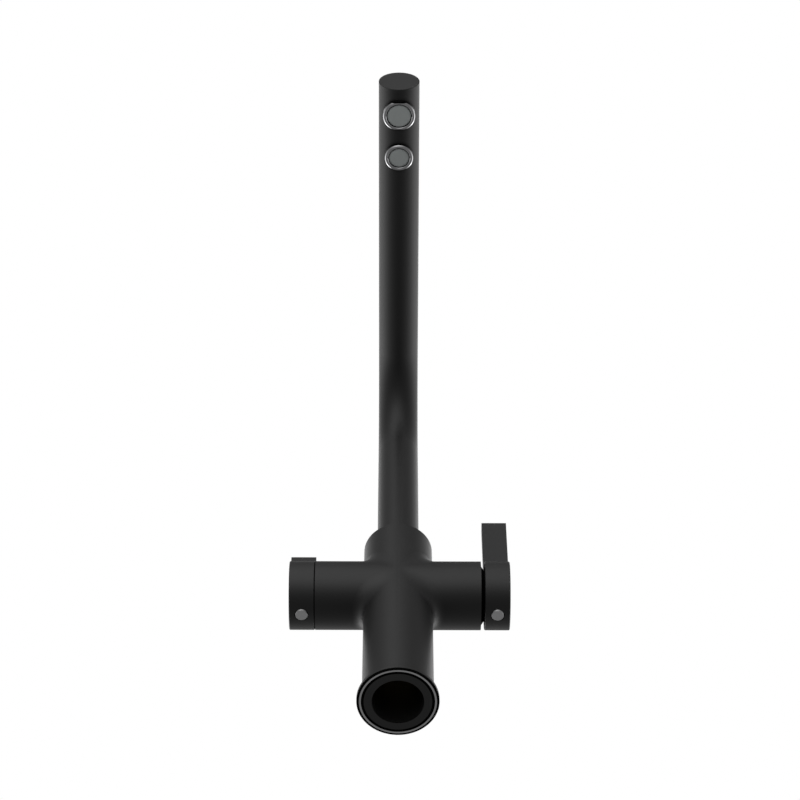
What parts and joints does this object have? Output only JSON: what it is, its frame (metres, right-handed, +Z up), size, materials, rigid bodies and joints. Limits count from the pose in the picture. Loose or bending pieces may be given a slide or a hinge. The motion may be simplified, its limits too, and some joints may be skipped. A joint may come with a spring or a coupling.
{
  "type": "kitchen water tap",
  "caption": "Matte black kitchen tap: upright body with side levers for mixed and treated water, swivel L-shaped spout with separate outlets underneath.",
  "frame": {"origin": "centre of the base bore in the plane of the worktop", "axes": "+Z up along the column, -Y the way the spout points, +X to the mixing lever"},
  "size_m": [0.1491, 0.2989, 0.3736],
  "materials": {
    "black_paint": "matte powder coat",
    "chrome": "polished",
    "steel": "fine satin",
    "steel_screen": "fine woven screen",
    "brass": "turned",
    "rubber": "matte",
    "ceramic": "lapped",
    "white_plastic": "moulded",
    "black_plastic": "moulded"
  },
  "bodies": {
    "body": {"body_casting": "black_paint", "base_flange": "black_paint", "base_trim_ring": "steel", "base_seal": "rubber", "inlet_manifold": "brass", "manifold_seal": "rubber", "cartridge_seal": "rubber", "cartridge_fixed_disc": "ceramic", "cartridge_housing": "white_plastic", "cartridge_nut": "brass", "cartridge_dome": "black_paint", "selector_seal": "rubber", "selector_fixed_disc": "ceramic", "selector_housing": "brass", "selector_slide_ring": "black_plastic", "swivel_bush": "black_plastic", "thrust_washer": "white_plastic", "spout_stop_screw": "steel"},
    "spout": {"spout_tube": "black_paint", "spout_end_cap": "black_paint", "spout_shank": "brass", "spout_seal_lower": "rubber", "spout_seal_upper": "rubber", "treated_water_line": "white_plastic", "front_outlet_socket": "black_paint", "front_aerator_housing": "chrome", "front_aerator_insert": "steel_screen", "front_aerator_washer": "rubber", "rear_outlet_socket": "black_paint", "rear_aerator_housing": "chrome", "rear_aerator_insert": "steel_screen", "rear_aerator_washer": "rubber"},
    "mixer_turret": {"cartridge_turret": "white_plastic", "cartridge_pivot_pin": "steel"},
    "mixer_disc": {"disc_carrier": "white_plastic", "cartridge_moving_disc": "ceramic"},
    "mixer_lever": {"mixer_handle": "black_paint", "mixer_spindle": "brass", "mixer_set_screw": "steel", "mixer_screw_plug": "steel"},
    "selector_lever": {"selector_handle": "black_paint", "selector_spindle": "brass", "selector_moving_disc": "ceramic", "selector_set_screw": "steel", "selector_screw_plug": "steel"}
  },
  "joints": [
    {"name": "spout_swivel", "type": "hinge", "parent": "body", "child": "spout", "pos_m": [0, 0, 0.1742], "axis": [0, 0, 1], "range_deg": [-70, 70]},
    {"name": "selector_turn", "type": "hinge", "parent": "body", "child": "selector_lever", "pos_m": [-0.065, 0, 0.1207], "axis": [1, 0, 0], "range_deg": [-90, 90]},
    {"name": "mixer_turn", "type": "hinge", "parent": "body", "child": "mixer_turret", "pos_m": [0.048, 0, 0.1207], "axis": [1, 0, 0], "range_deg": [-45, 45]},
    {"name": "mixer_lift", "type": "hinge", "parent": "mixer_turret", "child": "mixer_lever", "pos_m": [0.048, 0, 0.1207], "axis": [0, 1, 0], "range_deg": [0, 5]},
    {"name": "mixer_disc_slide", "type": "slide", "parent": "mixer_turret", "child": "mixer_disc", "axis": [0, 0, 1], "range_m": [0, 0.001]}
  ],
  "couplings": [
    {"joint": "mixer_disc_slide", "follows": "mixer_lift", "m_per_rad": 0.01065}
  ]
}
